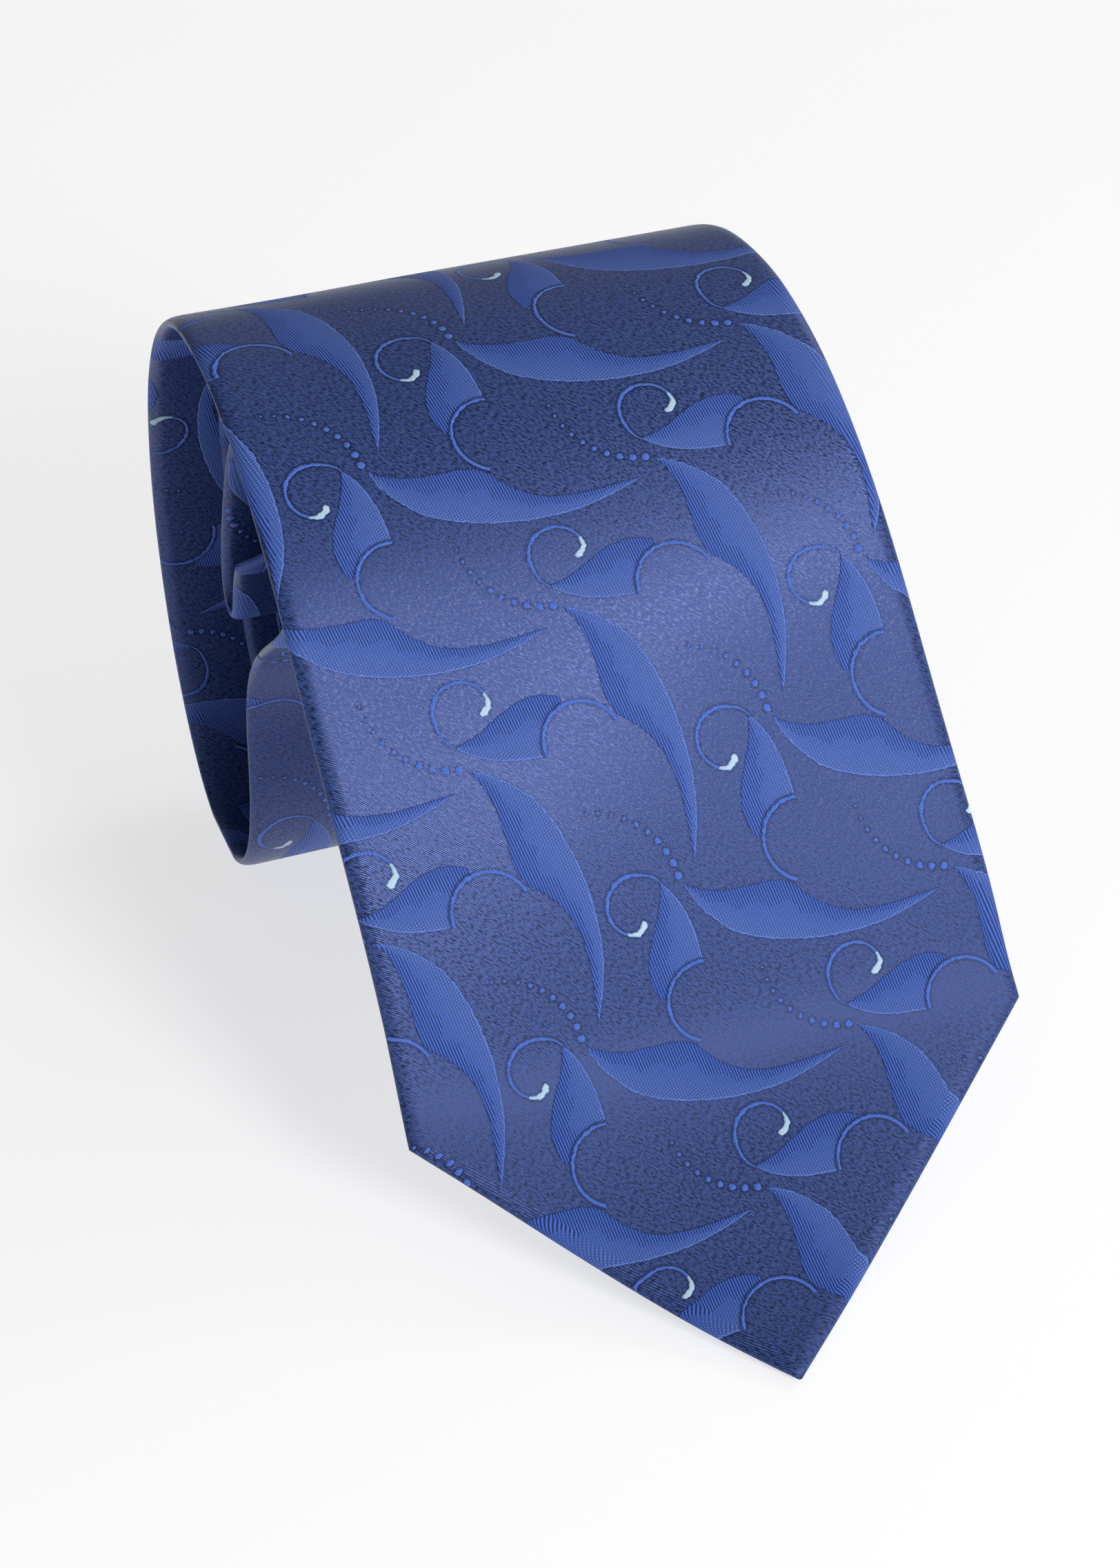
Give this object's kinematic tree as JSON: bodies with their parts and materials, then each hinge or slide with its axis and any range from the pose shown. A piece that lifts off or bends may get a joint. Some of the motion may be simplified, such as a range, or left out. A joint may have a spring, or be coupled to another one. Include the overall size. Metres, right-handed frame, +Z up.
{
  "type": "necktie",
  "caption": "Rolled jacquard silk necktie with a pointed wide blade hanging over the roll, folded shell, interlining, tipping and sewn seams.",
  "frame": {"origin": "on the table under the middle of the rolled tie's box", "axes": "+Z up; the blade's point lies towards -Y and the roll stands towards +Y; the roll's open ends face -X and +X"},
  "size_m": [0.0952, 0.1553, 0.1021],
  "materials": {
    "jacquard_silk": "navy satin ground with royal blue woven leaves",
    "wool_interlining": "matt brushed wool",
    "tipping_silk": "plain navy lining silk",
    "silk_thread": "twisted navy thread",
    "woven_label": "plain woven satin, blank"
  },
  "bodies": {
    "roll": {"rolled_blade_shell": "jacquard_silk", "neck_shell": "jacquard_silk", "tail_shell": "jacquard_silk", "blade_interlining": "wool_interlining", "tail_interlining": "wool_interlining", "tail_tipping": "tipping_silk", "slip_stitch": "silk_thread", "slack_loop": "silk_thread", "tail_bar_tack": "silk_thread", "blade_seam_thread": "silk_thread", "tail_seam_thread": "silk_thread", "keeper_loop": "jacquard_silk", "keeper_stitch_left": "silk_thread", "keeper_stitch_right": "silk_thread", "blank_label": "woven_label", "label_stitch_left": "silk_thread", "label_stitch_right": "silk_thread"},
    "front_blade": {"front_blade_shell": "jacquard_silk", "front_blade_interlining": "wool_interlining", "blade_tipping": "tipping_silk", "front_slip_stitch": "silk_thread", "blade_bar_tack": "silk_thread"}
  },
  "joints": [
    {"name": "blade_lift", "type": "hinge", "parent": "roll", "child": "front_blade", "pos_m": [-0.00425, 0.01133, 0.09339], "axis": [-1, 0, 0], "range_deg": [0, 75]}
  ]
}
